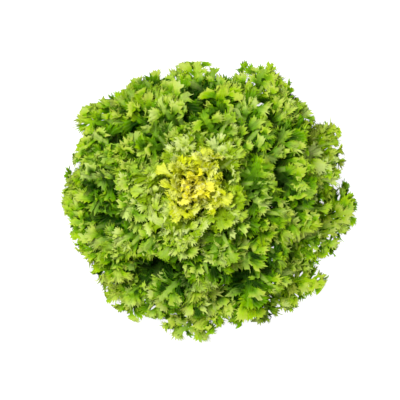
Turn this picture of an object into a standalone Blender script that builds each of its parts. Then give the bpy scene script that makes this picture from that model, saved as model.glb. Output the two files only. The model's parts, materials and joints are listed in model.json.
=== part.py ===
"""A head of curly endive, cut at the crown: a rosette of lobed, ruffled leaves, whorl inside whorl.

Metres, +Z up. The origin is the centre of the crown's flat cut face, which lies in z = 0. Every leaf
is a patch of its whorl's shell, a bowl-shaped surface round the head's axis, so that no two leaves
cross: the shells nest inside one another, and the leaves of one whorl share its shell by sectors.
"""

import math

import bmesh
import bpy
from mathutils import Vector

GAP = 0.0003  # clearance between neighbouring pieces
SEAT = 0.00045  # clearance between a leaf's flat end and the crown, which is round behind it

# The crown: the short stem, cut flat across the bottom, under a dome that the leaves grow from.
CUT_RADIUS = 0.0175
CROWN_RADIUS = 0.0215
CROWN_SHOULDER = 0.0075  # height of the widest place
CROWN_DOME = 0.0270  # rise of the dome above it
CROWN_SIDES = 24
CROWN_RINGS = 8

# The heart bud: the youngest leaves, still folded together over the growing point.
BUD_FOOT = 0.0006  # its height above the crown
BUD_PROFILE = (
    (0.0014, 0.0000),
    (0.0018, 0.0080),
    (0.0028, 0.0180),
    (0.0042, 0.0290),
    (0.0050, 0.0380),
    (0.0046, 0.0450),
    (0.0028, 0.0495),
)
BUD_LENGTH = 0.0510
BUD_SIDES = 12
BUD_LEAN = (0.0075, 0.0012)  # how far the bud's top leans off the axis, in x and y

# Whorls from the outermost, a, to the innermost, i. A shell's line leaves the crown at a right angle.
#   seat: where on the dome, in degrees of its ellipse, from its widest place up to its top
#   tip: radius and height at full reach                         droop: degrees above level at the tip
#   thick: leaf thickness at the base of the midrib              ruffle: how far the margins wave
#   twist: degrees the leaves sweep round the axis
WHORLS = {
    "a": dict(seat=5, tip=(0.170, 0.0062), droop=-12, thick=0.0042, ruffle=0.0028, twist=3),
    "b": dict(seat=17, tip=(0.158, 0.0235), droop=-12, thick=0.0039, ruffle=0.0040, twist=-4),
    "c": dict(seat=28, tip=(0.142, 0.0420), droop=-9, thick=0.0036, ruffle=0.0042, twist=4),
    "d": dict(seat=38, tip=(0.125, 0.0600), droop=-4, thick=0.0033, ruffle=0.0042, twist=-3),
    "e": dict(seat=48, tip=(0.106, 0.0760), droop=2, thick=0.0029, ruffle=0.0042, twist=3),
    "f": dict(seat=57, tip=(0.085, 0.0900), droop=10, thick=0.0025, ruffle=0.0036, twist=-3),
    "g": dict(seat=65.5, tip=(0.063, 0.1000), droop=20, thick=0.0021, ruffle=0.0030, twist=4),
    "h": dict(seat=73, tip=(0.040, 0.1030), droop=34, thick=0.0017, ruffle=0.0022, twist=-4),
    "i": dict(seat=80, tip=(0.021, 0.0980), droop=62, thick=0.0014, ruffle=0.0012, twist=3),
}

# Each leaf: azimuth of its sector's two edges, in degrees, and its reach from the axis.
OUTER_LEAVES = (
    (-30.0, 2.0, 0.169),
    (2.0, 33.0, 0.163),
    (33.0, 77.0, 0.149),
    (77.0, 121.0, 0.136),
    (121.0, 155.0, 0.144),
    (155.0, 203.0, 0.138),
    (203.0, 249.0, 0.151),
    (249.0, 281.0, 0.157),
    (281.0, 330.0, 0.160),
)
SECOND_LEAVES = (
    (-47.0, -14.0, 0.155),
    (-14.0, 23.0, 0.156),
    (23.0, 62.0, 0.146),
    (62.0, 104.0, 0.131),
    (104.0, 143.0, 0.134),
    (143.0, 183.0, 0.134),
    (183.0, 226.0, 0.137),
    (226.0, 268.0, 0.148),
    (268.0, 313.0, 0.150),
)
# The inner whorls share their circle evenly: how many leaves, the first edge, and the reaches.
INNER_WHORLS = {
    "c": (8, 11.0, (0.137, 0.131, 0.124, 0.123, 0.127, 0.130, 0.135, 0.138)),
    "d": (7, 40.0, (0.116, 0.109, 0.112, 0.108, 0.118, 0.121, 0.119)),
    "e": (6, 8.0, (0.098, 0.094, 0.090, 0.095, 0.101, 0.098)),
    "f": (6, 35.0, (0.078, 0.074, 0.079, 0.075, 0.081, 0.077)),
    "g": (5, 2.0, (0.058, 0.054, 0.057, 0.060, 0.055)),
    "h": (4, 24.0, (0.037, 0.035, 0.038, 0.034)),
    "i": (3, 50.0, (0.019, 0.020, 0.018)),
}

# Along a leaf, row by row: how far out the midrib's point lies, as a share of the leaf's length; how
# much of its sector the blade fills there; and how far the row's margins sweep towards the leaf's tip.
# Wide rows are the tips of lobes, and the narrow rows between them the cuts.
LEAF_ROWS = (
    (0.00, 0.62, 0.00),
    (0.20, 0.30, 0.00),
    (0.35, 0.34, 0.02),
    (0.43, 0.74, 0.07),
    (0.53, 0.40, 0.02),
    (0.62, 0.96, 0.08),
    (0.72, 0.50, 0.02),
    (0.80, 0.98, 0.08),
    (0.88, 0.50, 0.01),
    (0.94, 0.66, 0.03),
    (1.00, 0.22, -0.01),
)
HEART_ROWS = (
    (0.00, 0.66, 0.00),
    (0.26, 0.42, 0.00),
    (0.46, 0.72, 0.07),
    (0.60, 0.48, 0.02),
    (0.76, 0.94, 0.08),
    (0.89, 0.56, 0.02),
    (1.00, 0.34, -0.02),
)
ACROSS = (-1.0, -0.5, 0.0, 0.5, 1.0)  # margin, half-way, midrib, half-way, margin
BOW = 0.03  # how far a row's margins stand back from its middle, as a share of the leaf's length
EDGE_THICK = 0.0013  # thickness of the blade at its margin

# The head isn't a perfect bowl: its lumps lift and lower the leaves together, more towards the rim.
LUMPS = ((2, 35.0, 0.10), (3, 110.0, 0.07), (5, 20.0, 0.05))  # waves round the head, phase, share
LUMP_RADIUS = 0.16

COLOURS = {
    "crown": (0.62, 0.60, 0.36),
    "bud": (0.78, 0.74, 0.30),
    "a": (0.16, 0.33, 0.04),
    "b": (0.20, 0.38, 0.05),
    "c": (0.22, 0.42, 0.05),
    "d": (0.25, 0.46, 0.06),
    "e": (0.31, 0.50, 0.07),
    "f": (0.40, 0.55, 0.08),
    "g": (0.50, 0.60, 0.09),
    "h": (0.62, 0.64, 0.10),
    "i": (0.70, 0.66, 0.12),
}


def clear_scene():
    for thing in list(bpy.data.objects):
        bpy.data.objects.remove(thing, do_unlink=True)


def material(name, colour, roughness):
    """A plain, non-metallic surface."""
    made = bpy.data.materials.new(name)
    made.use_nodes = True
    shader = made.node_tree.nodes["Principled BSDF"]
    shader.inputs["Base Color"].default_value = (*colour, 1.0)
    shader.inputs["Roughness"].default_value = roughness
    shader.inputs["Metallic"].default_value = 0.0
    made.diffuse_color = (*colour, 1.0)
    return made


def named(name, bm, surface):
    """Turns a bmesh into one named object with its own material."""
    mesh = bpy.data.meshes.new(name)
    bm.to_mesh(mesh)
    bm.free()
    mesh.materials.append(surface)
    made = bpy.data.objects.new(name, mesh)
    bpy.context.scene.collection.objects.link(made)
    return made


def turned(name, profile, top, sides, surface, lean=(0.0, 0.0)):
    """A turned body with a flat bottom and a pointed top: a disc whose rim is extruded ring by ring.

    It leans off the axis by lean at its top, less and less towards its bottom.
    """
    bottom = profile[0][1]

    def shifted(height):
        share = ((height - bottom) / (top - bottom)) ** 2
        return Vector((lean[0] * share, lean[1] * share, height))

    bm = bmesh.new()
    ring = bmesh.ops.create_circle(bm, cap_ends=True, segments=sides, radius=profile[0][0])["verts"]
    bmesh.ops.translate(bm, verts=ring, vec=shifted(bottom))
    rim = list(bm.edges)
    for (radius, height), (before, below) in zip(profile[1:], profile):
        grown = bmesh.ops.extrude_edge_only(bm, edges=rim)["geom"]
        ring = [part for part in grown if isinstance(part, bmesh.types.BMVert)]
        fresh = set(ring)
        rim = [part for part in grown if isinstance(part, bmesh.types.BMEdge) and set(part.verts) <= fresh]
        for vert in ring:
            flat = (vert.co - shifted(below)) * (radius / before)
            vert.co = shifted(height) + flat
    tip = bmesh.ops.extrude_edge_only(bm, edges=rim)["geom"]
    tip = [part for part in tip if isinstance(part, bmesh.types.BMVert)]
    bmesh.ops.pointmerge(bm, verts=tip, merge_co=shifted(top))
    bmesh.ops.recalc_face_normals(bm, faces=list(bm.faces))
    made = named(name, bm, surface)
    made.data.shade_smooth()
    return made


def dome(degrees):
    """Radius, height and slope outwards of the crown's dome: an ellipse, from 0 at its shoulder to 90."""
    angle = math.radians(degrees)
    r, z = CROWN_RADIUS * math.cos(angle), CROWN_DOME * math.sin(angle)
    return r, CROWN_SHOULDER + z, math.atan2(z / CROWN_DOME**2, r / CROWN_RADIUS**2)


def shell_at(whorl, share):
    """Radius, height and slope of a whorl's shell, from 0 at the crown to 1 at full reach."""
    r0, z0, up = dome(whorl["seat"])
    r0, z0 = r0 + SEAT * math.cos(up), z0 + SEAT * math.sin(up)
    r3, z3 = whorl["tip"]
    out = math.radians(whorl["droop"])
    chord = math.hypot(r3 - r0, z3 - z0)
    r1, z1 = r0 + 0.42 * chord * math.cos(up), z0 + 0.42 * chord * math.sin(up)
    r2, z2 = r3 - 0.36 * chord * math.cos(out), z3 - 0.36 * chord * math.sin(out)
    t, q = share, 1 - share
    r = q**3 * r0 + 3 * q * q * t * r1 + 3 * q * t * t * r2 + t**3 * r3
    z = q**3 * z0 + 3 * q * q * t * z1 + 3 * q * t * t * z2 + t**3 * z3
    dr = 3 * q * q * (r1 - r0) + 6 * q * t * (r2 - r1) + 3 * t * t * (r3 - r2)
    dz = 3 * q * q * (z1 - z0) + 6 * q * t * (z2 - z1) + 3 * t * t * (z3 - z2)
    return r, z, math.atan2(dz, dr)


def share_at(whorl, reach):
    """How far along its shell a leaf of this reach ends."""
    low, high = 0.3, 1.0
    for _ in range(40):
        middle = (low + high) / 2
        if shell_at(whorl, middle)[0] < reach:
            low = middle
        else:
            high = middle
    return low


def lump(radius, azimuth):
    """How much the head's lumps raise the leaves here, as a factor on their height."""
    wave = sum(size * math.cos(n * azimuth - math.radians(turn)) for n, turn, size in LUMPS)
    return 1 + wave * min(1.0, (radius / LUMP_RADIUS) ** 2)


def leaf(name, whorl, low_edge, high_edge, reach, rows, surface):
    """One leaf: a grid laid on its shell, its margins lobed and waved, made solid about a stout midrib."""
    end = share_at(whorl, reach)
    centre = math.radians((low_edge + high_edge) / 2)
    half_sector = math.radians((high_edge - low_edge) / 2)
    bm = bmesh.new()
    grid = bmesh.ops.create_grid(bm, x_segments=len(ACROSS) - 1, y_segments=len(rows) - 1, size=1)["verts"]
    grid.sort(key=lambda vert: (round(vert.co.y, 4), vert.co.x))
    weights = []
    for number, vert in enumerate(grid):
        row, column = divmod(number, len(ACROSS))
        (along, fill, sweep), across = rows[row], ACROSS[column]
        # the row is bowed: its margins stand back from its middle, but the lobes sweep forward
        out = along + (sweep - BOW * along) * across * across
        r, z, slope = shell_at(whorl, end * out)
        azimuth = math.radians(whorl["twist"]) * along**2 + across * (half_sector * fill - GAP / r)
        side = 1 if row % 2 else -1
        wave = whorl["ruffle"] * side * across * abs(across) * min(1.0, max(0.0, (along - 0.3) * 3))
        r, z = r - math.sin(slope) * wave, z + math.cos(slope) * wave
        z *= lump(r, centre + azimuth)
        vert.co = (r * math.cos(azimuth), r * math.sin(azimuth), z)
        rib = whorl["thick"] * (1 - 0.62 * along)
        thick = EDGE_THICK + (rib - EDGE_THICK) * max(0.0, 1 - abs(across) * 1.35)
        weights.append((vert, thick / whorl["thick"]))
    # the quads of a waved blade are bent, so they are halved before both faces are made from them
    bmesh.ops.triangulate(bm, faces=list(bm.faces), quad_method="SHORT_EDGE")
    bmesh.ops.recalc_face_normals(bm, faces=list(bm.faces))
    bm.verts.index_update()
    weights = [(vert.index, weight) for vert, weight in weights]
    made = named(name, bm, surface)
    made.rotation_euler.z = centre
    group = made.vertex_groups.new(name="thickness")
    for index, weight in weights:
        group.add([index], min(1.0, weight), "REPLACE")
    solidify = made.modifiers.new("blade", "SOLIDIFY")
    solidify.thickness = whorl["thick"]
    solidify.offset = 0.0
    solidify.vertex_group = group.name
    return made


def build():
    clear_scene()
    rings = [dome(90 * ring / CROWN_RINGS)[:2] for ring in range(CROWN_RINGS)]
    top = CROWN_SHOULDER + CROWN_DOME
    turned("crown", [(CUT_RADIUS, 0.0)] + rings, top, CROWN_SIDES,
           material("crown", COLOURS["crown"], 0.6))
    foot = top + BUD_FOOT
    bud = [(radius, foot + height) for radius, height in BUD_PROFILE]
    turned("heart_bud", bud, foot + BUD_LENGTH, BUD_SIDES,
           material("heart_bud", COLOURS["bud"], 0.5), BUD_LEAN)
    leaves = {"a": OUTER_LEAVES, "b": SECOND_LEAVES}
    for letter, (count, first, reaches) in INNER_WHORLS.items():
        sector = 360.0 / count
        leaves[letter] = tuple(
            (first + i * sector, first + (i + 1) * sector, reaches[i]) for i in range(count)
        )
    for letter, whorl in WHORLS.items():
        rows = HEART_ROWS if letter in "ghi" else LEAF_ROWS
        for number, (low_edge, high_edge, reach) in enumerate(leaves[letter], 1):
            name = f"leaf_{letter}{number}"
            surface = material(name, COLOURS[letter], 0.45)
            leaf(name, whorl, low_edge, high_edge, reach, rows, surface)


build()
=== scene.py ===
import json
import math

import bmesh
import bpy
import numpy as np
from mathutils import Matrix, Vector

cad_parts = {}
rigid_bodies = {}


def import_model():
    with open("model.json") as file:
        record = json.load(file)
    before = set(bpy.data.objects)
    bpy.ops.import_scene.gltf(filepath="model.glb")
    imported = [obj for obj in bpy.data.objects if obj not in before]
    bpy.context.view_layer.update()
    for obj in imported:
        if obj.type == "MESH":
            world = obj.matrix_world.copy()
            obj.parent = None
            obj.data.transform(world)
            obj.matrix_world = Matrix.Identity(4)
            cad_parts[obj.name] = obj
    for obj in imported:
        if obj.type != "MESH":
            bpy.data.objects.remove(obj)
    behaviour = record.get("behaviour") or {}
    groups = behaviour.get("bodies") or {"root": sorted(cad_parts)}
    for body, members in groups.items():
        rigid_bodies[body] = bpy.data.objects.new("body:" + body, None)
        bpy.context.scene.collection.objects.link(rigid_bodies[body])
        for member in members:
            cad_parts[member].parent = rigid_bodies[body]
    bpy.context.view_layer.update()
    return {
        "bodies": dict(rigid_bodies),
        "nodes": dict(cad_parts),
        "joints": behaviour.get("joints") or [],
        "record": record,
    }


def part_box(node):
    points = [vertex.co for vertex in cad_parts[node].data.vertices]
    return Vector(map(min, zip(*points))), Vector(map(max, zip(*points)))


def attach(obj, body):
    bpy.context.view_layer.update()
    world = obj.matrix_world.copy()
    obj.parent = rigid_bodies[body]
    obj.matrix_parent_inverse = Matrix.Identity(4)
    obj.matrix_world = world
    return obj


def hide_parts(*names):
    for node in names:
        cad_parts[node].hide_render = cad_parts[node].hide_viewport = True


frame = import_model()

bpy.ops.object.select_all(action="DESELECT")

# --- The table and the light -------------------------------------------------------------------
# A white board that glows by itself, so that it stays plain and even, under a dim white sky. A broad
# soft lamp hangs high on the upper left, with a weaker one at the lower right. The camera looks
# straight down on the head from well above it.

BOARD_SIZE = 3.0
bpy.ops.mesh.primitive_plane_add(size=BOARD_SIZE, location=(0, 0, 0))
board = bpy.context.object
board.name = "board"

SKY_STRENGTH = 0.08
sky = bpy.data.worlds.new("sky")
bpy.context.scene.world = sky
sky.use_nodes = True
backdrop = sky.node_tree.nodes["Background"]
backdrop.inputs["Color"].default_value = (1.0, 1.0, 1.0, 1.0)
backdrop.inputs["Strength"].default_value = SKY_STRENGTH

# each lamp: its place, its disk's diameter, its power
LAMPS = {
    "key_softbox": ((-0.34, 0.31, 1.35), 0.75, 47.0),
    "right_softbox": ((0.80, -0.75, 0.95), 0.5, 8.0),
}
LAMP_AIM = Vector((0, 0, 0.05))
for lamp_name, (place, size, power) in LAMPS.items():
    bpy.ops.object.light_add(type="AREA", location=place)
    lamp = bpy.context.object
    lamp.name = lamp_name
    lamp.data.shape = "DISK"
    lamp.data.size = size
    lamp.data.energy = power
    lamp.rotation_euler = (LAMP_AIM - lamp.location).to_track_quat("-Z", "Y").to_euler()

VIEW_CENTRE = (0.00515, -0.01236)
VIEW_WIDTH = 0.412
VIEW_HEIGHT = 1.6
VIEW_LEVEL = 0.045  # the height above the board at which the view is VIEW_WIDTH wide
SENSOR_WIDTH = 36.0
VIEW_END = 10.0
bpy.ops.object.camera_add(location=(*VIEW_CENTRE, VIEW_HEIGHT), rotation=(0, 0, 0))
camera = bpy.context.object
camera.data.sensor_width = SENSOR_WIDTH
camera.data.lens = SENSOR_WIDTH * (VIEW_HEIGHT - VIEW_LEVEL) / VIEW_WIDTH
camera.data.clip_end = VIEW_END
bpy.context.scene.camera = camera
bpy.context.scene.view_settings.view_transform = "Standard"


class Sock:
    """A value socket that Python arithmetic can be written on."""

    def __init__(self, shop, socket):
        self.shop, self.socket = shop, socket

    def _math(self, operation, *others):
        return self.shop.node("ShaderNodeMath", {"operation": operation}, [self, *others])

    def __add__(self, other):
        return self._math("ADD", other)

    __radd__ = __add__

    def __mul__(self, other):
        return self._math("MULTIPLY", other)

    __rmul__ = __mul__

    def __sub__(self, other):
        return self._math("SUBTRACT", other)

    def __rsub__(self, other):
        return self.shop.node("ShaderNodeMath", {"operation": "SUBTRACT"}, [other, self])

    def __pow__(self, other):
        return self._math("POWER", other)


class Shop:
    """One material and its nodes."""

    def __init__(self, name):
        self.material = bpy.data.materials.new(name)
        self.material.use_nodes = True
        self.tree = self.material.node_tree
        self.shader = self.tree.nodes["Principled BSDF"]

    def put(self, socket, value):
        """Links a value to a socket, or sets it there."""
        if isinstance(value, Sock):
            self.tree.links.new(value.socket, socket)
        else:
            socket.default_value = value

    def paint(self, **values):
        """Puts values on the shader's own sockets, whose names have _ for a space."""
        for key, value in values.items():
            self.put(self.shader.inputs[key.replace("_", " ")], value)

    def node(self, kind, settings=None, inputs=(), output=0):
        """A node of a type, with its settings, the values or links of its sockets, and one output."""
        made = self.tree.nodes.new(kind)
        for key, value in (settings or {}).items():
            if key == "stops":
                ramp = made.color_ramp.elements
                while len(ramp) < len(value):
                    ramp.new(0.5)
                for stop, (place, colour) in zip(ramp, value):
                    stop.position = place
                    stop.color = (*colour, 1.0)
            else:
                setattr(made, key, value)
        pairs = inputs.items() if isinstance(inputs, dict) else enumerate(inputs)
        for key, value in pairs:
            self.put(made.inputs[key], value)
        return Sock(self, made.outputs[output])

    def attribute(self, name):
        return self.node("ShaderNodeAttribute", {"attribute_name": name}, output="Fac")

    def place(self):
        return self.node("ShaderNodeTexCoord", output="Object")

    def height(self):
        return self.node("ShaderNodeSeparateXYZ", None, [self.place()], output="Z")

    def scaled(self, scale):
        """The place, multiplied along each axis."""
        return self.node("ShaderNodeVectorMath", {"operation": "MULTIPLY"}, [self.place(), scale])

    def radius(self):
        """The distance from the head's upright axis."""
        flat = self.scaled((1.0, 1.0, 0.0))
        return self.node("ShaderNodeVectorMath", {"operation": "LENGTH"}, [flat], output="Value")

    def noise(self, scale, detail=2.0, roughness=0.5, where=None):
        settings = {"Vector": where or self.place(), "Scale": scale, "Detail": detail, "Roughness": roughness}
        return self.node("ShaderNodeTexNoise", None, settings)

    def fade(self, value, start, end):
        """0 where the value is at start, rising to 1 where it is at end."""
        return self.node("ShaderNodeMapRange", None, {"Value": value, 1: start, 2: end})

    def mix(self, share, first, second):
        return self.node("ShaderNodeMix", {"data_type": "RGBA"}, {0: share, 6: first, 7: second}, output=2)

    def bump(self, relief):
        """The normal over a relief in metres."""
        inputs = {"Strength": 1.0, "Distance": 1.0, "Height": relief}
        return self.node("ShaderNodeBump", None, inputs, output="Normal")


BOARD_GREY = (0.15, 0.15, 0.15, 1.0)
BOARD_GLOW = 0.93
board_shop = Shop("white_board")
board_shop.paint(Base_Color=BOARD_GREY, Roughness=0.8)
board_shop.paint(Emission_Color=(1.0, 1.0, 1.0, 1.0), Emission_Strength=BOARD_GLOW)
board.data.materials.append(board_shop.material)
board.visible_diffuse = False
board.visible_transmission = False
board.visible_glossy = False

# --- The leaves --------------------------------------------------------------------------------
# Curly endive leaves: a pale, stout midrib with narrow lobes off both sides, each cut again into
# curled, toothed lobelets. They grow in whorls from the crown, the youngest and palest innermost.

CROWN_RADIUS = 0.0215
CROWN_SHOULDER = 0.0075
CROWN_DOME = 0.0270

# For each whorl, in metres and degrees:
# seat: where on the crown's dome it grows; tip: the radius and height of its shell's outer end;
# droop: the shell's slope there; twist: how far its leaves sweep round; lobes: how many a side;
# cut, fringe: how coarse its lobes are, and what is left of that at a leaf's end; bite: how long its
# teeth are; relief: how high its lobes stand off the shell; tuck, lean: how far lobes and tips turn
# inward; row: the length of one row of a midrib; rib: a midrib's thickness; share: how much of its
# reach a leaf fills; under: how far past the next whorl its painted shade starts; shade, deep: how
# dark the painted shade makes the covered lobes and the low ones.
WHORLS = {
    "a": dict(seat=5, tip=(0.170, 0.0062), droop=-12, twist=3, lobes=7, cut=1.0, fringe=0.62, bite=1.05,
              relief=0.0085, row=0.0025, rib=0.0040, share=0.97, under=-0.012, shade=1.0, deep=1.0),
    "b": dict(seat=17, tip=(0.158, 0.0235), droop=-12, twist=-4, lobes=7, cut=1.0, fringe=0.64, bite=1.05,
              relief=0.0100, row=0.0025, rib=0.0038, share=0.965, under=-0.006, shade=1.0, deep=1.0),
    "c": dict(seat=28, tip=(0.142, 0.0420), droop=-9, twist=4, lobes=7, cut=1.0, fringe=0.74, bite=1.08,
              relief=0.0100, row=0.0025, rib=0.0034, share=0.98, under=0.006, shade=1.0, deep=1.0),
    "d": dict(seat=38, tip=(0.125, 0.0600), droop=-4, twist=-3, lobes=7, cut=1.0, fringe=0.78, bite=1.08,
              relief=0.0100, row=0.0025, rib=0.0030, share=0.98, under=0.006, shade=1.0, deep=1.0),
    "e": dict(seat=48, tip=(0.106, 0.0760), droop=2, twist=3, lobes=7, cut=0.95, fringe=0.82, bite=1.04,
              relief=0.0100, row=0.0025, rib=0.0024, share=0.98, under=0.006, shade=0.9, deep=1.0),
    "f": dict(seat=57, tip=(0.085, 0.0900), droop=10, twist=-3, lobes=7, cut=0.85, fringe=0.86, bite=0.96,
              relief=0.0095, row=0.0023, rib=0.0024, share=0.98, under=0.006, shade=0.65, deep=1.0),
    "g": dict(seat=65.5, tip=(0.063, 0.1000), droop=20, twist=4, lobes=8, cut=0.85, fringe=1.0, bite=0.86,
              relief=0.0080, row=0.0019, rib=0.0024, share=0.98, under=0.006, shade=0.4, deep=0.6),
    "h": dict(seat=73, tip=(0.040, 0.1030), droop=34, twist=-4, lobes=8, cut=0.72, fringe=1.0, bite=0.76,
              relief=0.0075, row=0.0015, rib=0.0024, share=0.98, under=0.006, shade=0.3, deep=0.35,
              tuck=0.6),
    "i": dict(seat=80, tip=(0.021, 0.0980), droop=62, twist=3, lobes=9, cut=0.68, fringe=1.0, bite=0.66,
              relief=0.0105, row=0.0014, rib=0.0024, share=0.98, under=0.006, shade=0.0, deep=0.3,
              tuck=1.5, lean=0.005),
}

# the sector that each leaf fills, from and to, and how far it reaches
LEAVES = {
    "a": ((-32, 0, 0.170), (1, 32, 0.160), (37, 68, 0.152), (73, 121, 0.128), (121, 160, 0.143),
          (164, 205, 0.139), (205, 249, 0.149), (253, 279, 0.160), (282, 328, 0.166)),
    "b": ((-43, -14, 0.149), (-12, 30, 0.150), (30, 64, 0.142), (64, 104, 0.115), (104, 143, 0.129),
          (143, 183, 0.128), (183, 226, 0.136), (226, 268, 0.142), (268, 313, 0.149)),
}
# the whorls whose leaves fill equal sectors: how many, where the first sector starts, and the reaches
INNER = {
    "c": (8, 11, (0.137, 0.122, 0.124, 0.123, 0.127, 0.130, 0.135, 0.138)),
    "d": (7, 40, (0.116, 0.109, 0.112, 0.108, 0.118, 0.121, 0.119)),
    "e": (6, 8, (0.098, 0.094, 0.090, 0.095, 0.101, 0.098)),
    "f": (6, 35, (0.078, 0.074, 0.079, 0.075, 0.081, 0.077)),
    "g": (5, 2, (0.058, 0.054, 0.057, 0.060, 0.055)),
    "h": (4, 24, (0.037, 0.035, 0.038, 0.034)),
    "i": (3, 50, (0.019, 0.020, 0.018)),
}
for letter, (count, first, reaches) in INNER.items():
    step = 360 / count
    LEAVES[letter] = [(first + i * step, first + (i + 1) * step, reaches[i]) for i in range(count)]

# the head rises and falls in waves round it: how many, where one crests, and its share of the height
LUMPS = ((2, 35.0, 0.10), (3, 110.0, 0.07), (5, 20.0, 0.05))
LUMP_RADIUS = 0.16  # the distance from the middle at which the waves are full
SHELL_START, SHELL_END = 0.42, 0.36  # how far a shell keeps the slopes of its ends, over its chord
SHELL_POINTS = 161
NARROWEST = 0.004  # the smallest radius that a blade is wrapped round


class Shell:
    """The bowl-shaped surface that a whorl's leaves lie on, by distance along its line."""

    def __init__(self, whorl):
        angle = math.radians(whorl["seat"])
        r0, z0 = CROWN_RADIUS * math.cos(angle), CROWN_DOME * math.sin(angle)
        up = math.atan2(z0 / CROWN_DOME**2, r0 / CROWN_RADIUS**2)
        z0 += CROWN_SHOULDER
        r3, z3 = whorl["tip"]
        out = math.radians(whorl["droop"])
        chord = math.hypot(r3 - r0, z3 - z0)
        line = np.array([
            (r0, z0),
            (r0 + SHELL_START * chord * math.cos(up), z0 + SHELL_START * chord * math.sin(up)),
            (r3 - SHELL_END * chord * math.cos(out), z3 - SHELL_END * chord * math.sin(out)),
            (r3, z3),
        ])
        t = np.linspace(0, 1, SHELL_POINTS)[:, None]
        q = 1 - t
        rz = q**3 * line[0] + 3 * q * q * t * line[1] + 3 * q * t * t * line[2] + t**3 * line[3]
        legs = np.diff(line, axis=0)
        d = 3 * q * q * legs[0] + 6 * q * t * legs[1] + 3 * t * t * legs[2]
        self.r, self.z = rz[:, 0], rz[:, 1]
        self.slope = np.arctan2(d[:, 1], d[:, 0])
        self.run = np.concatenate([[0], np.cumsum(np.hypot(*np.diff(rz, axis=0).T))])

    def run_at(self, reach):
        return float(np.interp(reach, self.r, self.run))

    def radius_at(self, run):
        return np.interp(run, self.run, self.r)

    def lay(self, flat, centre, twist, length):
        """Flat leaf space (across, along, off the blade) to the head's space."""
        x, y, h = flat.T
        r, z, slope = (np.interp(y, self.run, line) for line in (self.r, self.z, self.slope))
        past = y - np.clip(y, 0, self.run[-1])
        r, z = r + past * np.cos(slope), z + past * np.sin(slope)
        azimuth = centre + twist * (y / length) ** 2 + x / np.maximum(r, NARROWEST)
        r, z = r - np.sin(slope) * h, z + np.cos(slope) * h
        wave = sum(size * np.cos(n * azimuth - math.radians(turn)) for n, turn, size in LUMPS)
        z = z * (1 + wave * np.minimum(1, (r / LUMP_RADIUS) ** 2))
        return np.stack([r * np.cos(azimuth), r * np.sin(azimuth), z], axis=1)


# hollows between the leaves, where few lobes grow, and which are pushed down and painted in shade: azimuth,
# distance from the middle, radius
HOLLOWS = (
    (264, 0.098, 0.008), (240, 0.092, 0.008), (252, 0.084, 0.005), (297, 0.098, 0.008), (284, 0.089, 0.006),
    (311, 0.098, 0.006), (272, 0.118, 0.005), (82, 0.078, 0.008), (70, 0.068, 0.005), (94, 0.096, 0.005),
    (121, 0.070, 0.007), (140, 0.088, 0.006), (27, 0.064, 0.006), (17, 0.084, 0.007), (33, 0.104, 0.007),
    (0, 0.088, 0.007), (-2, 0.060, 0.006), (-51, 0.070, 0.006), (-40, 0.107, 0.006), (204, 0.082, 0.006),
    (222, 0.118, 0.005), (180, 0.104, 0.005), (160, 0.112, 0.005), (52, 0.112, 0.006),
)
HOLLOW_RIM = 1.35  # a hollow's outer edge, over its radius
HOLLOW_WANDER = 0.25  # how far that edge wanders in and out, over its radius
HOLLOW_DEPTH = 0.006  # how far the lobes in a hollow are pushed down
# how much painted shade fills a hollow, at its middle
HOLLOW_SHADE = 0.6
HOLLOW_BARE = 0.35  # how deep in a hollow no lobe grows


def hollow_at(x, y):
    """How deep in a hollow a place is, from 0 outside to 1 in its middle."""
    depth = 0.0
    for azimuth, distance, radius in HOLLOWS:
        turn = math.radians(azimuth)
        wander = HOLLOW_WANDER * radius
        off_x = x - distance * math.cos(turn) + wander * np.sin(460 * y + azimuth)
        off_y = y - distance * math.sin(turn) + wander * np.sin(390 * x)
        depth = np.maximum(depth, np.clip(HOLLOW_RIM - np.hypot(off_x, off_y) / radius, 0, 1))
    return depth


# where a strip's edges lie across it, by how many points it is wide
ACROSS = {
    5: np.array([-1.0, -0.42, 0.0, 0.42, 1.0]),
    7: np.array([-1.0, -0.74, -0.38, 0.0, 0.38, 0.74, 1.0]),
    9: np.array([-1.0, -0.80, -0.55, -0.28, 0.0, 0.28, 0.55, 0.80, 1.0]),
}
ROW_VARIES = (0.88, 1.12)  # each row's width, over what it would be
MARGIN = 1.7  # how near its edges a strip is ruffled and notched
CRIMP_WAVES, CLEFT_WAVES = 5.5, 6.5  # across a strip's end
LET_GO = 2.4  # a strip has left its base's own line by 1 / this of its length
VEIN_FADES, FRINGE_GROWS, EDGE_THINS = 0.6, 0.22, 0.4  # from a strip's middle to its edges
TOOTH_LIFT = (-0.7, 0.9)
TOOTH_VARIES = (0.5, 1.8)  # the shortest and the longest tooth, over the usual one
MARGIN_TOOTH = 0.85  # a tooth on a strip's margin, over one at its end


def unit(v):
    return v / np.linalg.norm(v, axis=-1, keepdims=True)


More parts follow.
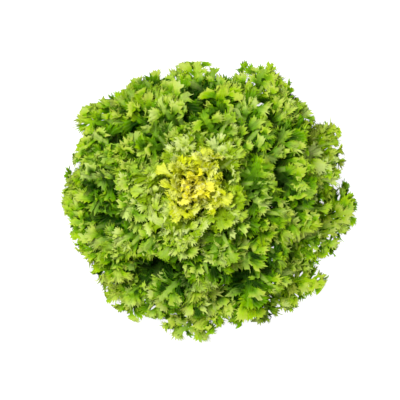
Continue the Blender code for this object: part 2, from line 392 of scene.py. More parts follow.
class Blade:
    """A leaf's surface, grown strip from strip. Each strip starts on an edge of the one it grows from."""

    def __init__(self, seed, lay):
        self.rng = np.random.RandomState(seed)
        self.lay = lay
        self.co, self.marks, self.faces = np.zeros((0, 3)), np.zeros((0, 4)), []

    def add(self, points, marks):
        first = len(self.co)
        self.co = np.concatenate([self.co, points.reshape(-1, 3)])
        marks = np.broadcast_to(marks, (*points.shape[:-1], 4)).reshape(-1, 4)
        self.marks = np.concatenate([self.marks, marks])
        return first + np.arange(points[..., 0].size).reshape(points.shape[:-1])

    def vary(self, low, high, *shape):
        return self.rng.uniform(low, high, shape)

    def sunk(self, rows):
        """How deep in a hollow each row of points is, once the leaf is laid on its shell."""
        return hollow_at(*self.lay(self.co[rows].mean(axis=1))[:, :2].T)

    def grow(self, base, out, up, length, half, widths, marks, bend=0, turn=0, roll=0, cup=0,
             frill=0, pace=1.4, notch=0, arch=0, gather=0, crimp=0, cleft=0, flute=0, finer=False):
        """Grows one strip from each row of base; widths are its rows' half-widths as shares of half.

        bend lifts, turn steers and roll twists the strip over its length; cup raises its margins;
        frill lifts and lowers each margin by turns, at pace radians a row; notch cuts each margin in
        by turns, at nearly that pace; arch rounds its end, crimp waves it and cleft cuts it into
        lobelets; flute pleats its fringe; gather sets its last rows closer; finer gives it twice its
        base's edges across.
        marks: how pale its vein is, with the painted highlight it carries, how near the fringe it is, with
        the painted light and shade it carries, and how thick it is, each where it starts and where it ends.
        """
        rows, count = len(widths), len(base)
        start = self.co[base]
        if finer:
            between = (start[:, :-1] + start[:, 1:]) / 2
            start = np.insert(start, range(1, base.shape[1]), between, axis=1)
        wide = start.shape[1]
        across = ACROSS[wide]
        heart = start.mean(axis=1)
        t, n = unit(out), unit(up)
        n = unit(n - (n * t).sum(-1, keepdims=True) * t)
        o = heart.copy()
        ids, frames = [base], [(t, n)]
        bend, turn, roll, cup, frill, pace, notch, arch, crimp, cleft, flute = (
            np.broadcast_to(v, count)[:, None]
            for v in (bend, turn, roll, cup, frill, pace, notch, arch, crimp, cleft, flute)
        )
        by_turns = np.cos(math.pi * np.arange(wide))
        phase = self.vary(0, 2 * math.pi, count, 6)
        strides = np.linspace(1 + gather, 1 - gather, rows) / rows
        for k, stride in enumerate(strides):
            s = (k + 1) / rows
            b = np.cross(t, n)
            t = unit(t + (bend * n + turn * b) / rows)
            n = n + (roll * b) / rows
            n = unit(n - (n * t).sum(-1, keepdims=True) * t)
            b = np.cross(t, n)
            o = o + t * (length * stride)[:, None]
            w = (half * widths[k] * self.vary(*ROW_VARIES, count))[:, None]
            right = across > 0
            beat = np.sin(np.where(right, phase[:, 1:2], phase[:, :1]) + pace * k)
            cut = np.where(right, phase[:, 3:4], phase[:, 2:3]) + 0.9 * pace * k
            edge = np.abs(across) ** MARGIN
            x = across * w * (1 - notch * edge * (0.5 + 0.5 * np.cos(cut)))
            lift = cup * w * across**2 + frill * w * edge * beat
            lift = lift + crimp * w * s**2 * np.sin(phase[:, 4:5] + CRIMP_WAVES * across)
            lift = lift + flute * w * (s**3 * by_turns + s * edge * math.cos(math.pi * k))
            ahead = notch * w * edge * 0.5 * np.sin(cut) + arch * w * (1 - across**2) * s**2
            ahead = ahead + cleft * w * s**2 * np.cos(phase[:, 5:6] + CLEFT_WAVES * across)
            points = o[:, None] + b[:, None] * x[..., None] + n[:, None] * lift[..., None]
            points = points + t[:, None] * ahead[..., None]
            share = min(1.0, s * LET_GO)
            share = share * share * (3 - 2 * share)
            points = points * share + (start + (o - heart)[:, None]) * (1 - share)
            mark = np.empty((count, wide, 4))
            for i, (first, last) in enumerate(marks):
                first, last = (np.broadcast_to(v, count)[:, None] for v in (first, last))
                mark[..., i] = first + (last - first) * s
            mark[..., 3] = across
            mark[..., 0] *= 1 - VEIN_FADES * across**2
            mark[..., 1] += FRINGE_GROWS * edge
            mark[..., 2] *= 1 - EDGE_THINS * np.abs(across)
            new = self.add(points, mark)
            last = ids[-1]
            if finer and k == 0:
                corners = (last[:, :-1], last[:, 1:], new[:, 2::2], new[:, 1::2], new[:, :-2:2])
                ids, frames = [], []
            else:
                corners = (last[:, :-1], last[:, 1:], new[:, 1:], new[:, :-1])
            self.faces += np.stack(corners, -1).reshape(-1, len(corners)).tolist()
            ids.append(new)
            frames.append((t, n))
        ids = np.stack(ids, 1)
        ts, ns = (np.stack([frame[i] for frame in frames], 1) for i in (0, 1))
        return ids, ts, ns

    def off(self, strips, places, side, angle, tilt, wide):
        """Base rows for new strips on one margin of each strip, with the way out and the way up there."""
        ids, ts, ns = strips
        column = ids.shape[2] - 1 if side > 0 else 0
        base, out, up = [], [], []
        for i, place in enumerate(places):
            row = ids[:, place:place + wide, column]
            base.append(row[:, ::-1] if side > 0 else row)
            t, n = ts[:, place + wide // 2], ns[:, place + wide // 2]
            b = np.cross(t, n) * side
            a, g = angle[:, i, None], tilt[:, i, None]
            way = t * np.cos(a) + b * np.sin(a)
            out.append(way * np.cos(g) + n * np.sin(g))
            up.append(n * np.cos(g) - way * np.sin(g))
        return (np.stack(parts, 1).reshape(-1, parts[0].shape[-1]) for parts in (base, out, up))

    def teeth(self, strips, size, first_row, lean=0.8):
        """Sharp teeth round the strips' ends and along their margins from a row on, one to an edge."""
        ids, ts, ns = strips
        wide = ids.shape[2]
        edges = []
        for k in range(first_row, ids.shape[1] - 1):
            t, n = ts[:, k + 1], ns[:, k + 1]
            b = np.cross(t, n)
            edges.append((ids[:, k + 1, -1], ids[:, k, -1], b + lean * t, n, MARGIN_TOOTH))
            edges.append((ids[:, k, 0], ids[:, k + 1, 0], -b + lean * t, n, MARGIN_TOOTH))
        t, n = ts[:, -1], ns[:, -1]
        b = np.cross(t, n)
        for j in range(wide - 1):
            spread = (2 * j + 2 - wide) / (wide - 1)
            edges.append((ids[:, -1, j], ids[:, -1, j + 1], t + spread * b, n, 1.0))
        for first, second, way, n, share in edges:
            count = len(first)
            lift = self.vary(*TOOTH_LIFT, count, 1)
            span = (share * size * np.clip(self.rng.lognormal(-0.05, 0.28, count), *TOOTH_VARIES))[:, None]
            middle = (self.co[first] + self.co[second]) / 2
            mark = (self.marks[first] + self.marks[second]) / 2 + (0.05, 0.28, 0.0, 0.0)
            mark[:, 2] = 0.12
            apex = self.add(middle + unit(way + n * lift) * span, mark)
            self.faces += np.stack([first, second, apex], -1).tolist()


TOOTH = 0.0042
ROW = 0.0021  # the length of one row of a lobe or a lobelet
LOBE_HALF = (0.0032, 0.0052)  # the least and the most that a lobe's half-width is
FOLD_HALF = (0.0034, 0.0055)
FOLD_SHORTEST, FOLD_LONGEST = 0.0072, 0.0140
FOLDED_FROM = 0.011  # the length from which a lobe has lobelets
CALM_LENGTH = 0.020  # the length from which a lobe bends less


def grow_folds(blade, lobe, rows, span, cut, tone, bite, paler):
    """Fan-shaped lobelets that branch off a lobe's margins, standing up and down by turns; they carry painted
    light and shade.
    """
    k = len(span)
    for way in (-1, 1):
        first = 2 if way > 0 else 4
        spots = list(range(first, rows - 3, 4))
        if not spots:
            continue
        at = np.array([(p + 1.5) / rows for p in spots])
        angle = np.radians(np.interp(at, (0, 1), (68, 42)) + blade.vary(-14, 14, k, len(spots)))
        flip = np.where((np.arange(len(spots)) + blade.rng.randint(0, 2, (k, 1))) % 2, 1, -1)
        rise = blade.vary(12, 60, k, len(spots))
        drop = blade.vary(5, 38, k, len(spots))
        tilt = np.radians(np.where(flip > 0, rise, -drop))
        base, out, up = blade.off(lobe, spots, way, angle, tilt, 4)
        far = np.interp(at, (0, 0.3, 0.7, 1), (0.32, 0.38, 0.36, 0.30)) * span[:, None]
        far = np.clip(far, FOLD_SHORTEST, FOLD_LONGEST * cut) * blade.vary(0.7, 1.25, k, len(spots))
        far = far.reshape(-1)
        m = len(far)
        fold_rows = max(4, int(round(float(far.mean()) / (ROW * cut))))
        s = np.linspace(0, 1, fold_rows + 1)[1:]
        raised = (flip > 0).reshape(-1)
        # painted highlight: the lobelets that stand up are painted pale, the hanging ones hardly, and less so
        # in a hollow
        pale = (0.75 * blade.vary(0.0, 1.0, m) ** 1.5 + paler) * np.where(raised, 1.0, 0.05)
        sunk = blade.sunk(base)
        pale = pale * (1 - 0.9 * sunk)
        # painted light and shade: standing lobelets are lighter, hanging ones and those in a hollow darker
        shade = tone + blade.vary(-0.15, 0.15, m) + np.where(raised, 0.18, -0.62) - 1.7 * sunk
        # each lobelet gets painted shade at its base and grows lighter and paler towards its end, where its
        # fringe is paler and the painted highlight falls
        fold = blade.grow(
            base, out, up, far, np.clip(far * 0.46, *FOLD_HALF) * cut,
            np.interp(s, (0, 0.35, 0.75, 1), (0.55, 0.65, 1.10, 1.30)),
            ((pale * -0.4, pale), (shade - 0.78, shade + 0.62), (0.30, 0.18)),
            bend=blade.vary(-1.3, 0.8, m), turn=blade.vary(-0.6, 0.6, m), roll=blade.vary(-0.8, 0.8, m),
            cup=blade.vary(0.1, 0.9, m), frill=blade.vary(0.2, 0.5, m), pace=blade.vary(1.2, 2.2, m),
            notch=blade.vary(0.05, 0.25, m), arch=blade.vary(0.2, 0.6, m), crimp=blade.vary(0.20, 0.50, m),
            cleft=blade.vary(0.05, 0.25, m), flute=blade.vary(0.04, 0.14, m), finer=True,
        )
        blade.teeth(fold, TOOTH * bite * blade.vary(0.8, 1.2, m), fold_rows // 3)


def grow_lobes(blade, base, out, up, span, side, cut, bite, warmth, paler):
    """Lobes of about one length: ruffled ribbons that widen to a notched, toothed fan."""
    k = len(span)
    rows = max(4, int(round(float(span.mean()) / (ROW * cut))))
    s = np.linspace(0, 1, rows + 1)[1:]
    widths = np.interp(s, (0, 0.15, 0.5, 0.8, 1.0), (0.95, 0.55, 0.75, 1.05, 1.30))
    calm = np.minimum(1.0, CALM_LENGTH / span)
    half = np.clip(span * 0.18, *LOBE_HALF) * cut * blade.vary(0.85, 1.15, k)
    pale = 1.1 * blade.vary(0.0, 1.0, k) ** 1.5 + paler
    tone = blade.vary(-0.36, 0.36, 1)[0] + warmth
    paler = paler + 0.5 * pale.mean()
    # painted shade at each lobe's base; it grows lighter and paler towards its end, where its fringe is paler
    # and the painted highlight falls
    lobe = blade.grow(
        base, out, up, span, half, widths, ((pale * -0.3, pale), (tone - 0.86, tone + 0.47), (0.42, 0.20)),
        bend=blade.vary(-1.0, 1.0, k) * calm, turn=blade.vary(-0.8, 0.8, k) - 0.2 * side,
        roll=blade.vary(-0.8, 0.8, k), cup=blade.vary(-0.2, 0.7, k), frill=blade.vary(0.3, 0.7, k),
        pace=blade.vary(1.1, 1.8, k), notch=blade.vary(0.15, 0.45, k), arch=blade.vary(0.1, 0.5, k),
        crimp=blade.vary(0.15, 0.45, k), cleft=blade.vary(0.10, 0.35, k), flute=blade.vary(0.04, 0.14, k),
    )
    if span.mean() > FOLDED_FROM:
        grow_folds(blade, lobe, rows, span, cut, tone, bite, paler)
    blade.teeth(lobe, TOOTH * bite * blade.vary(0.8, 1.2, k), rows - 3)


PLAIN_HALF = (0.005, 0.014)
PLAIN_TOOTH = 0.0045


def grow_plain_lobe(blade, base, out, up, span, side):
    """A broad lobe with no lobelets, painted dark as in shade, for where the next whorl covers the leaf."""
    strip = blade.grow(
        base, out, up, span, np.clip(span * 0.45, *PLAIN_HALF), (0.9, 1.0, 1.15, 1.15, 0.8),
        ((0.4, 0.1), (-0.8, -0.7), (0.4, 0.2)), bend=blade.vary(-0.3, 0.3, 1), turn=-0.3 * side,
        roll=blade.vary(-1, 1, 1), cup=blade.vary(-0.5, 0.5, 1), frill=0.4, pace=2.0,
    )
    blade.teeth(strip, np.full(1, PLAIN_TOOTH), 2)


THINNEST = 0.00042  # the thickness of a leaf's fringe


def thickened(name, points, blade, rib):
    """A leaf as an object of its own: as thick as its rib along the middle, and thin at its fringe."""
    mesh = bpy.data.meshes.new(name)
    mesh.from_pydata(points.tolist(), [], blade.faces)
    # the first mark holds the pale veins and the painted highlight, the second how near the fringe a point is
    # and the painted light and shade
    for index, mark in ((0, "vein"), (1, "edge"), (3, "ray")):
        layer = mesh.attributes.new(mark, "FLOAT", "POINT")
        layer.data.foreach_set("value", blade.marks[:, index].astype(np.float32))
    made = bpy.data.objects.new(name, mesh)
    bpy.context.collection.objects.link(made)
    share = np.round(np.clip(blade.marks[:, 2] ** 2, THINNEST / rib, 1.0), 2)
    group = made.vertex_groups.new(name="thick")
    for level in np.unique(share):
        group.add(np.nonzero(share == level)[0].tolist(), float(level), "REPLACE")
    solid = made.modifiers.new("thickness", "SOLIDIFY")
    solid.thickness = rib
    solid.offset = 0.0
    solid.vertex_group = "thick"
    bpy.context.view_layer.objects.active = made
    made.select_set(True)
    bpy.ops.object.modifier_apply(modifier=solid.name)
    bpy.ops.object.shade_smooth_by_angle(angle=math.radians(50))
    made.select_set(False)
    return made


RIB_SHARE = 0.92  # how much of a leaf its midrib runs through, before the lobe at its end
RIB_HALF = 0.0070  # the most that a midrib's half-width is, at the crown
GATHER = 0.28  # how much closer a midrib's rows and lobes are at its end
STALK_ROWS = 4  # rows of the midrib at the crown with no lobes
LOBE_ROWS = 6  # rows of the midrib from one lobe to the next
COVERED_BY = 0.045  # how far under the next whorl a leaf's lobes are still finely cut
GAPS = 0.10  # what share of the open lobes is missing
END_HALF = 0.0042
TIP_ROOM = 0.009  # how far a lobe may run past its leaf's reach
WAVE = 0.0018  # how far a leaf waves up and down along its length
SHADE_FADES = 0.034  # how far it takes for a whorl's painted shade to become full
COVERED_SHADE, COVERED_RIB = 1.25, 0.9  # painted shade: how much darker, and how much less pale, a covered leaf is painted
LOWEST = 0.004  # the height below which a leaf flattens on to the table
# the leaves that are yellower, or greener, than the rest of their whorl
WARMTH = {
    "leaf_a1": 0.10, "leaf_a2": 0.55, "leaf_a4": 0.25, "leaf_a5": 0.10, "leaf_a6": 0.15, "leaf_a7": 0.10,
    "leaf_a8": 0.05, "leaf_b2": 0.12, "leaf_b4": 0.10, "leaf_b8": 0.05, "leaf_c5": 0.20, "leaf_c6": 0.10,
    "leaf_c7": 0.05, "leaf_c8": 0.10, "leaf_d4": 0.15, "leaf_d7": -0.15, "leaf_e1": -0.20,
    "leaf_e3": 0.15, "leaf_e4": 0.15, "leaf_e6": -0.10, "leaf_f1": -0.15, "leaf_f2": 0.15,
    "leaf_f3": 0.10, "leaf_g2": 0.25, "leaf_g3": 0.15,
}
# those with paler blades, and those with broader lobes
PALER = {
    "leaf_a2": -0.20, "leaf_b2": 0.75, "leaf_b8": 0.25, "leaf_c6": 0.25, "leaf_e4": 0.25, "leaf_g1": 0.15,
    "leaf_g2": 0.30, "leaf_g3": 0.15, "leaf_g4": 0.05, "leaf_h1": 0.25, "leaf_h2": 0.10, "leaf_h3": 0.25,
    "leaf_h4": 0.25, "leaf_i1": 0.2,
}
BROADER = {"leaf_b2": 1.30, "leaf_c7": 1.15}


def endive_leaf(node, whorl, low, high, reach, inside, seed):
    """One leaf of a whorl, filling a sector from low to high; inside is the next whorl's mean reach."""
    shell = Shell(whorl)
    length = shell.run_at(reach * whorl["share"])
    centre = math.radians((low + high) / 2)
    twist = math.radians(whorl["twist"])

    def lay(flat):
        return shell.lay(flat, centre, twist, length)

    blade = Blade(seed, lay)
    rng = blade.rng
    half_sector = math.radians((high - low) / 2)

    # the midrib
    spine = RIB_SHARE * length
    spine_rows = int(round(spine / whorl["row"]))
    base_half = min(RIB_HALF, 0.85 * half_sector * shell.radius_at(0.0))
    across = ACROSS[5]
    first = np.stack([across * base_half, np.zeros(5), 0.0004 * across**2], 1)
    marks = np.stack([1 - np.abs(across), np.zeros(5), 1 - 0.3 * np.abs(across), across], 1)
    base = blade.add(first[None], marks)
    s = np.linspace(0, 1, spine_rows + 1)[1:]
    widths = np.interp(s, (0, 0.20, 0.6, 1.0), (1.0, 0.62, 0.38, 0.28))
    one = np.ones(1)
    mid = blade.grow(
        base, np.array([[0, 1.0, 0]]), np.array([[0, 0, 1.0]]), spine * one, base_half * one, widths,
        ((0.30, 0.55), (0.0, 0.05), (1.0, 0.4)),
        bend=rng.uniform(-0.06, 0.06), turn=rng.uniform(-0.12, 0.12), roll=rng.uniform(-0.3, 0.3), cup=0.12,
        gather=GATHER,
    )

    # its lobes: bare stalk below, plain lobes painted dark with shade where the next whorl covers them, then
    # finely cut ones
    open_from = shell.run_at(max(0.0, inside - COVERED_BY)) / length
    warmth, paler = WARMTH.get(node, 0.0), PALER.get(node, 0.0)
    for side in (-1, 1):
        for i in range(whorl["lobes"]):
            spot = spine_rows - LOBE_ROWS - LOBE_ROWS * i - (0 if side > 0 else LOBE_ROWS // 2)
            if spot < STALK_ROWS:
                continue
            share = (spot + 3) / spine_rows
            along = share * (1 + GATHER) - GATHER * share**2
            angle = math.radians(np.interp(along, (0.3, 0.7, 1.0), (66, 54, 24)) + rng.uniform(-7, 7))
            here = along * spine
            fullness = np.interp(along, (0.3, 0.5, 0.8, 1), (0.8, 0.95, 1, 0.8))
            wide = half_sector * shell.radius_at(here + 0.012) * fullness
            room = min(wide / math.sin(angle), (length - here) / math.cos(angle))
            span = room * rng.uniform(0.64, 1.06)
            tilt = rng.uniform(-1 + whorl.get("tuck", 0), 1) * min(0.8, 0.0085 / span)
            base, out, up = blade.off(mid, [spot], side, np.array([[angle]]), np.array([[tilt]]), 7)
            if along > open_from and i > 1 and rng.uniform() < GAPS:
                continue
            middle = blade.co[base[0, 3]] + 0.6 * span * out[0]
            spot_x, spot_y, _ = lay(middle[None])[0]
            if i > 0 and hollow_at(spot_x, spot_y) > HOLLOW_BARE:
                continue
            if along > open_from:
                fringe = np.interp(along, (0.5, 1.0), (1.0, whorl["fringe"]))
                fine = whorl["cut"] * fringe * BROADER.get(node, 1.0)
                grow_lobes(blade, base, out, up, span * one, side, fine, whorl["bite"], warmth, paler)
            else:
                grow_plain_lobe(blade, base, out, up, span * one, side)
    base, out, up = (parts[:, -1] for parts in mid)
    end = blade.grow(
        base, out, up, max(0.012, length - spine) * one, END_HALF * one, (0.7, 0.8, 1.1, 1.3, 1.3),
        ((0.6, 0.2), (0.1, 0.4), (0.35, 0.2)), bend=rng.uniform(-1, 1), roll=rng.uniform(-1, 1), frill=0.5,
        arch=0.5, crimp=0.3, cleft=0.25, finer=True,
    )
    blade.teeth(end, TOOTH * whorl["bite"] * one, 2)

    flat = blade.co.copy()
    # no lobe runs far past the leaf's own reach
    past = np.maximum(flat[:, 1] - length, 0)
    flat[:, 1] -= past - TIP_ROOM * np.tanh(past / TIP_ROOM)
    # the leaf lies in slow waves, and its end curls up or over
    s = flat[:, 1] / length
    curl = rng.uniform(-0.003, 0.007)
    lean = whorl.get("lean", 0.0)
    flat[:, 2] += curl * np.clip((s - 0.6) / 0.4, 0, 1.3) ** 2 + lean * np.clip(s, 0, 1.2) ** 3
    flat[:, 2] += WAVE * np.sin(s * rng.uniform(7, 11) + rng.uniform(0, 6)) * np.clip(s * 2, 0, 1)
    # its lobes stand off the shell no further than the whorl's relief
    most = whorl["relief"]
    over = np.abs(flat[:, 2]) / most
    eased = np.where(over < 0.7, over, 0.7 + 0.3 * np.tanh((over - 0.7) / 0.3))
    flat[:, 2] = np.sign(flat[:, 2]) * most * eased
    points = lay(flat)
    # what the next whorl covers, and what lies in a hollow, is painted in deep shade: it is darkened towards
    # a dark green and its pale veins are dimmed
    radius = np.hypot(points[:, 0], points[:, 1])
    covered = np.clip((inside + whorl["under"] - radius) / SHADE_FADES, 0, 1)
    covered *= whorl["shade"]
    deep = hollow_at(points[:, 0], points[:, 1])
    covered = np.maximum(covered, HOLLOW_SHADE * deep)
    points[:, 2] -= HOLLOW_DEPTH * deep
    # the inner whorls keep only the share deep of the painted shade on their lobes
    blade.marks[:, 1] *= np.where(blade.marks[:, 1] < 0, whorl["deep"], 1.0)
    blade.marks[:, 1] -= COVERED_SHADE * covered
    blade.marks[:, 0] *= 1 - COVERED_RIB * covered
    height = points[:, 2]
    points[:, 2] = np.where(height < LOWEST, LOWEST * np.exp(height / LOWEST - 1), height)
    return thickened(f"{node}_blade", points, blade, whorl["rib"])


VEIN_LINES, VEIN_WANDER = 12.0, 6.0  # the fine lines beside a vein, and how far they wander
PUCKER, GRAIN = 0.0022, 0.0002  # the depth of the blade's puckers and of its grain
GOLDEN = (0.84, 0.79, 0.060, 1.0)
GOLDEN_FROM, GOLDEN_FULL = 0.034, 0.012  # the distances from the middle between which gold comes in


def leaf_shop(name, rib, blade_colour, lobe_colour, tip_colour, painted_shade_colour, glow_colour, glow_share):
    """A whorl's leaf skin: dull, pale along its veins and where painted highlight falls, painted dark green
    where shade falls, and letting some light through.
    """
    shop = Shop(name)
    vein, edge, ray = shop.attribute("vein"), shop.attribute("edge"), shop.attribute("ray")
    broad = shop.noise(45.0, 3.0)
    fine = shop.noise(420.0, 3.0)
    pucker = shop.noise(170.0, 2.0)
    # the tone follows the edge mark, which holds the fringe and the painted light and shade, with blotches of
    # random tone
    tone = edge + (broad - 0.5) * 0.9 + (pucker - 0.5) * 0.6
    stops = ((0.0, blade_colour), (0.55, lobe_colour), (1.0, tip_colour))
    colour = shop.node("ShaderNodeValToRGB", {"stops": stops}, [tone])
    # painted shade: where the edge mark is below zero the colour goes to the dark green of deep shade
    colour = shop.mix(edge * -1.25, colour, (*painted_shade_colour, 1.0))
    across = ray * VEIN_LINES + (broad - 0.5) * VEIN_WANDER
    wave = shop.node("ShaderNodeMath", {"operation": "SINE"}, [across])
    line = shop.node("ShaderNodeMath", {"operation": "MAXIMUM"}, [wave, 0.0]) ** 3
    # paler along the veins and where the painted highlight falls
    pale = shop.node("ShaderNodeMath", {"operation": "MAXIMUM"}, [vein, 0.0]) ** 1.3
    colour = shop.mix(pale + line * 0.13, colour, (*rib, 1.0))
    # the youngest growth, round the middle, is golden
    golden = shop.fade(shop.radius() + (broad - 0.5) * 0.02, GOLDEN_FROM, GOLDEN_FULL)
    shop.paint(
        Base_Color=shop.mix(golden * 0.18 - vein * 0.3, colour, GOLDEN),
        Roughness=0.46 + (fine - 0.5) * 0.25,
        Specular_IOR_Level=0.0,
        Normal=shop.bump(pucker * PUCKER + fine * GRAIN),
    )
    glow = shop.node("ShaderNodeBsdfTranslucent", None, {"Color": (*glow_colour, 1.0)})
    skin = Sock(shop, shop.shader.outputs[0])
    shade = shop.node("ShaderNodeMixShader", None, {0: glow_share, 1: skin, 2: glow})
    shop.put(shop.tree.nodes["Material Output"].inputs["Surface"], shade)
    return shop.material


# for each whorl: its ribs, its blades, its lobes, its fringe, the dark green painted where it lies in deep
# shade, and the colour and share of the light that it lets through
TONES = {
    "a": ((0.53, 0.61, 0.175), (0.155, 0.335, 0.0003), (0.37, 0.54, 0.002), (0.48, 0.56, 0.055),
          (0.0050, 0.042, 0.0001), (0.38, 0.67, 0.001), 0.50),
    "b": ((0.54, 0.62, 0.180), (0.155, 0.330, 0.0003), (0.38, 0.55, 0.002), (0.48, 0.56, 0.055),
          (0.0045, 0.038, 0.0001), (0.38, 0.67, 0.001), 0.50),
    "c": ((0.53, 0.60, 0.170), (0.120, 0.290, 0.0002), (0.32, 0.48, 0.001), (0.47, 0.54, 0.055),
          (0.0030, 0.032, 0.0001), (0.35, 0.64, 0.001), 0.50),
    "d": ((0.52, 0.59, 0.170), (0.112, 0.270, 0.0002), (0.30, 0.46, 0.001), (0.46, 0.53, 0.055),
          (0.0030, 0.030, 0.0001), (0.34, 0.63, 0.001), 0.50),
    "e": ((0.52, 0.59, 0.170), (0.112, 0.270, 0.0002), (0.30, 0.45, 0.001), (0.46, 0.53, 0.055),
          (0.0030, 0.030, 0.0001), (0.34, 0.63, 0.001), 0.50),
    "f": ((0.55, 0.61, 0.195), (0.130, 0.290, 0.0003), (0.30, 0.46, 0.002), (0.48, 0.55, 0.070),
          (0.0300, 0.095, 0.0003), (0.41, 0.66, 0.001), 0.50),
    "g": ((0.60, 0.66, 0.250), (0.240, 0.375, 0.0010), (0.38, 0.51, 0.010), (0.53, 0.61, 0.100),
          (0.1500, 0.230, 0.0006), (0.49, 0.67, 0.003), 0.50),
    "h": ((0.73, 0.74, 0.330), (0.530, 0.580, 0.0060), (0.61, 0.64, 0.052), (0.66, 0.68, 0.170),
          (0.3600, 0.380, 0.0030), (0.86, 0.90, 0.020), 0.58),
    "i": ((0.84, 0.82, 0.430), (0.800, 0.765, 0.0300), (0.80, 0.77, 0.120), (0.74, 0.72, 0.260),
          (0.6200, 0.540, 0.0050), (0.97, 0.95, 0.110), 0.64),
}
for letter, leaves in LEAVES.items():
    skin = leaf_shop(f"leaf_{letter}", *TONES[letter])
    further = LEAVES.get(chr(ord(letter) + 1), ())
    inside = float(np.mean([leaf[2] for leaf in further])) if further else 0.0
    for number, (low, high, reach) in enumerate(leaves, 1):
        node = f"leaf_{letter}{number}"
        leaf_seed = 100 * ord(letter) + number + 37
        leaf = endive_leaf(node, WHORLS[letter], low, high, reach, inside, leaf_seed)
        leaf.data.materials.append(skin)
        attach(leaf, "root")
        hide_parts(node)

# --- The crown ---------------------------------------------------------------------------------
# The short stem, cut straight across below the lowest leaves: a firm, pale, domed disc whose cut
# face has browned at its rim and in its middle.

CUT_RADIUS = 0.0175
FACE_RADIUS = CUT_RADIUS * 0.96
EDGE_RADIUS, EDGE_HEIGHT = CUT_RADIUS * 1.02, 0.0007  # the worn edge round the cut face
FACE_RINGS = 4
DOME_RINGS = 12
SKIN = 0.0003  # how far the piece stays inside the crown's dome
SCAR_COUNT, SCAR_PITCH, SCAR_DEPTH = 9, 900, 0.0003
SCARS_FROM = 0.003


def select_none():
    bpy.ops.object.select_all(action="DESELECT")


def raise_ring(height, scale):
    """Extrudes the selected rim and moves the new one up, growing or shrinking it."""
    bpy.ops.mesh.extrude_edges_move(TRANSFORM_OT_translate={"value": (0, 0, height)})
    bpy.ops.transform.resize(value=(scale, scale, 1))


def close_top():
    """Closes the selected rim with a fan, turns all faces outward and leaves edit mode."""
    bpy.ops.mesh.edge_face_add()
    bpy.ops.mesh.poke()
    bpy.ops.mesh.select_all(action="SELECT")
    bpy.ops.mesh.normals_make_consistent(inside=False)
    bpy.ops.object.mode_set(mode="OBJECT")


select_none()
bpy.ops.mesh.primitive_circle_add(vertices=64, radius=FACE_RADIUS, fill_type="NGON", location=(0, 0, 0))
crown_piece = bpy.context.object
crown_piece.name = "crown_stem"
bpy.ops.object.mode_set(mode="EDIT")
bpy.ops.mesh.select_all(action="SELECT")
for _ in range(FACE_RINGS):
    bpy.ops.mesh.inset(thickness=CUT_RADIUS * 0.16)
bpy.ops.mesh.select_mode(type="EDGE")
bpy.ops.mesh.select_all(action="DESELECT")
mesh = bmesh.from_edit_mesh(crown_piece.data)
for edge in mesh.edges:
    edge.select_set(edge.is_boundary)
mesh.select_flush_mode()
bmesh.update_edit_mesh(crown_piece.data)
rings = [(EDGE_RADIUS, EDGE_HEIGHT)]
for step in range(DOME_RINGS):
    angle = math.pi / 2 * step / DOME_RINGS
    rise = CROWN_SHOULDER + CROWN_DOME * math.sin(angle) - SKIN
    rings.append((CROWN_RADIUS * math.cos(angle) - SKIN, rise))
last_radius, last_height = FACE_RADIUS, 0.0
for radius, height in rings:
    raise_ring(height - last_height, radius / last_radius)
    last_radius, last_height = radius, height
close_top()
for vertex in crown_piece.data.vertices:
    if vertex.co.z > SCARS_FROM:
        # leaf scars ring the stem
        around = math.atan2(vertex.co.y, vertex.co.x)
        scar = math.sin(SCAR_COUNT * around + SCAR_PITCH * vertex.co.z) * SCAR_DEPTH
        vertex.co.xy = vertex.co.xy * (1 - 0.01 + scar / CROWN_RADIUS)
crown_piece.data.shade_smooth()
bpy.ops.object.shade_smooth_by_angle(angle=math.radians(40))

crown_shop = Shop("crown_flesh")
radius = crown_shop.radius()
mottle = crown_shop.noise(260.0, 4.0, 0.6)
rim = crown_shop.fade(radius + (mottle - 0.5) * 0.004, 0.0125, 0.0175)
pith = crown_shop.fade(radius + (mottle - 0.5) * 0.003, 0.0055, 0.0020)
cut_face = crown_shop.fade(crown_shop.height(), 0.0012, 0.0004)
flesh = crown_shop.mix(mottle, (0.66, 0.68, 0.36, 1.0), (0.52, 0.58, 0.24, 1.0))
brown = crown_shop.mix(mottle, (0.30, 0.17, 0.06, 1.0), (0.48, 0.33, 0.13, 1.0))
crown_shop.paint(
    Base_Color=crown_shop.mix((rim * 0.8 + pith * 0.45) * cut_face, flesh, brown),
    Roughness=0.5 + (mottle - 0.5) * 0.3,
    Normal=crown_shop.bump(mottle * 0.0006),
)
crown_piece.data.materials.append(crown_shop.material)
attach(crown_piece, "root")
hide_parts("crown")

# --- The heart bud -----------------------------------------------------------------------------
# The youngest leaves, still rolled round the growing point: a slim, creamy spindle with the folded
# leaves' edges winding up it.

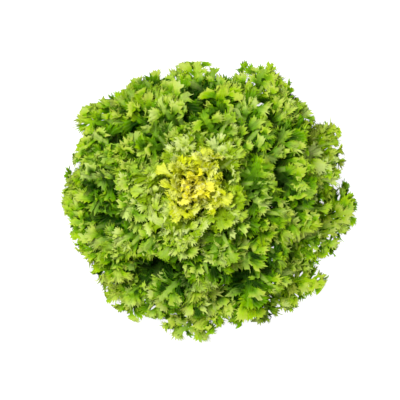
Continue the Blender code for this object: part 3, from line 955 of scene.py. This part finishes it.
# radius and height, from its foot to its point
BUD_PROFILE = (
    (0.0014, 0.0000), (0.0018, 0.0080), (0.0028, 0.0180), (0.0042, 0.0290), (0.0048, 0.0360),
    (0.0050, 0.0405), (0.0047, 0.0445), (0.0039, 0.0475), (0.0026, 0.0497), (0.0012, 0.0508),
)
BUD_LEAN = (0.0085, 0.0013)  # how far its point leans across
FOLDS_ROUND, FOLDS_WIND, FOLD_DEPTH = 2.5, 6, 0.07  # the folded leaves' edges
bud_low, bud_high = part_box("heart_bud")
bud_length = bud_high[2] - bud_low[2]
select_none()
bpy.ops.mesh.primitive_circle_add(
    vertices=36, radius=BUD_PROFILE[0][0], fill_type="NGON", location=(0, 0, bud_low[2])
)
bud_piece = bpy.context.object
bud_piece.name = "heart_bud_rolled"
bpy.ops.object.transform_apply(location=True, rotation=False, scale=False)
bpy.ops.object.mode_set(mode="EDIT")
bpy.ops.mesh.select_mode(type="EDGE")
bpy.ops.mesh.select_all(action="SELECT")
for (radius, height), (last_radius, last_height) in zip(BUD_PROFILE[1:], BUD_PROFILE):
    raise_ring(height - last_height, radius / last_radius)
close_top()
subdivision = bud_piece.modifiers.new("round", "SUBSURF")
subdivision.levels = subdivision.render_levels = 1
bpy.ops.object.modifier_apply(modifier=subdivision.name)
for vertex in bud_piece.data.vertices:
    share = (vertex.co.z - bud_low[2]) / bud_length
    around = math.atan2(vertex.co.y, vertex.co.x)
    fold = 1 - FOLD_DEPTH * abs(math.sin(FOLDS_ROUND * around + FOLDS_WIND * share)) ** 0.5
    vertex.co.x = vertex.co.x * fold + BUD_LEAN[0] * share**2
    vertex.co.y = vertex.co.y * fold + BUD_LEAN[1] * share**2
bud_piece.data.shade_smooth()

bud_shop = Shop("bud_cream")
fibre = bud_shop.noise(900.0, 3.0, 0.6, bud_shop.scaled((1.0, 1.0, 0.12)))
broad = bud_shop.noise(160.0, 2.0)
tip = bud_shop.fade(bud_shop.height(), 0.060, 0.086)
colour = bud_shop.mix(tip, (0.62, 0.58, 0.10, 1.0), (0.74, 0.74, 0.28, 1.0))
colour = bud_shop.mix(broad * 0.6, colour, (0.62, 0.66, 0.16, 1.0))
bud_shop.paint(
    Base_Color=bud_shop.mix(fibre * 0.4, colour, (0.80, 0.79, 0.40, 1.0)),
    Roughness=0.40 + (fibre - 0.5) * 0.2,
    Normal=bud_shop.bump(fibre * 0.0002),
)
bud_piece.data.materials.append(bud_shop.material)
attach(bud_piece, "root")
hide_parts("heart_bud")
select_none()
